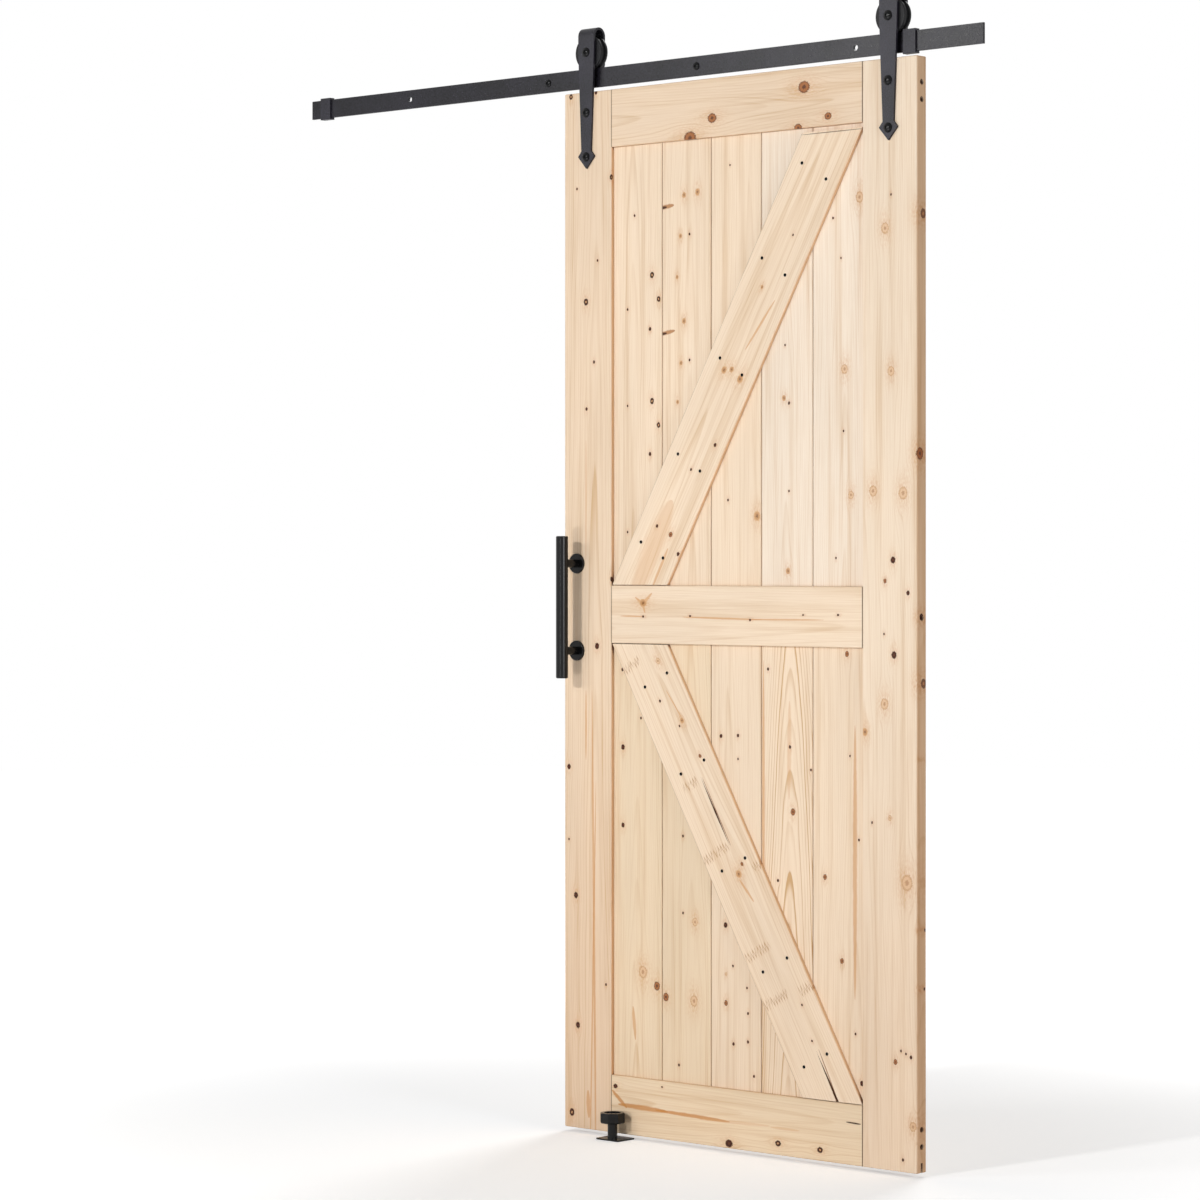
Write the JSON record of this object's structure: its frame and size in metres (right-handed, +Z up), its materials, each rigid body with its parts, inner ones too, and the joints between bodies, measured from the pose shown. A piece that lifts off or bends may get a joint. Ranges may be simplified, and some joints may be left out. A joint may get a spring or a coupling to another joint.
{
  "type": "sliding barn door",
  "caption": "Sliding plank barn door with framed panels and diagonal braces, hung by strap hangers and grooved wheels from a flat wall track, with a pull bar and a floor guide.",
  "frame": {"origin": "on the wall plane, at the back end of the right inner track fixing, at the track's mid height", "axes": "+X along the track to the right seen from the front, +Y into the wall, +Z up"},
  "size_m": [1.8288, 0.1064, 2.2744],
  "materials": {
    "pine": "bare, sanded",
    "black_steel": "matte powder coat",
    "black_bolts": "black oxide",
    "satin_black": "satin",
    "black_nylon": "moulded nylon"
  },
  "bodies": {
    "track": {"track_rail": "black_steel", "left_rail_spacer": "black_steel", "left_rail_bolt": "black_bolts", "left_rail_stop": "black_steel", "right_rail_spacer": "black_steel", "right_rail_bolt": "black_bolts", "right_rail_stop": "black_steel", "guide_plate": "black_steel", "guide_post": "black_steel", "guide_head": "black_nylon"},
    "door": {"left_stile": "pine", "right_stile": "pine", "top_rail": "pine", "middle_rail": "pine", "bottom_rail": "pine", "upper_plank_1": "pine", "upper_plank_2": "pine", "upper_plank_3": "pine", "upper_plank_4": "pine", "upper_plank_5": "pine", "lower_plank_1": "pine", "lower_plank_2": "pine", "lower_plank_3": "pine", "lower_plank_4": "pine", "lower_plank_5": "pine", "upper_brace": "pine", "lower_brace": "pine", "left_hanger_strap": "black_steel", "right_hanger_strap": "black_steel", "left_axle_bolt": "black_bolts", "left_upper_bolt": "black_bolts", "left_lower_bolt": "black_bolts", "right_axle_bolt": "black_bolts", "right_upper_bolt": "black_bolts", "right_lower_bolt": "black_bolts", "pull_bar": "satin_black", "upper_handle_post": "satin_black", "lower_handle_post": "satin_black"},
    "left_roller": {"left_wheel": "black_nylon"},
    "right_roller": {"right_wheel": "black_nylon"}
  },
  "joints": [
    {"name": "door_slide", "type": "slide", "parent": "track", "child": "door", "axis": [-1, 0, 0], "range_m": [0, 0.743]},
    {"name": "left_wheel_spin", "type": "hinge", "parent": "door", "child": "left_roller", "pos_m": [-0.2869, -0.035, 0.0523], "axis": [0, -1, 0], "continuous": true},
    {"name": "right_wheel_spin", "type": "hinge", "parent": "door", "child": "right_roller", "pos_m": [0.4965, -0.035, 0.0523], "axis": [0, -1, 0], "continuous": true}
  ],
  "couplings": [
    {"joint": "left_wheel_spin", "follows": "door_slide", "rad_per_m": 31.25},
    {"joint": "right_wheel_spin", "follows": "door_slide", "rad_per_m": 31.25}
  ]
}
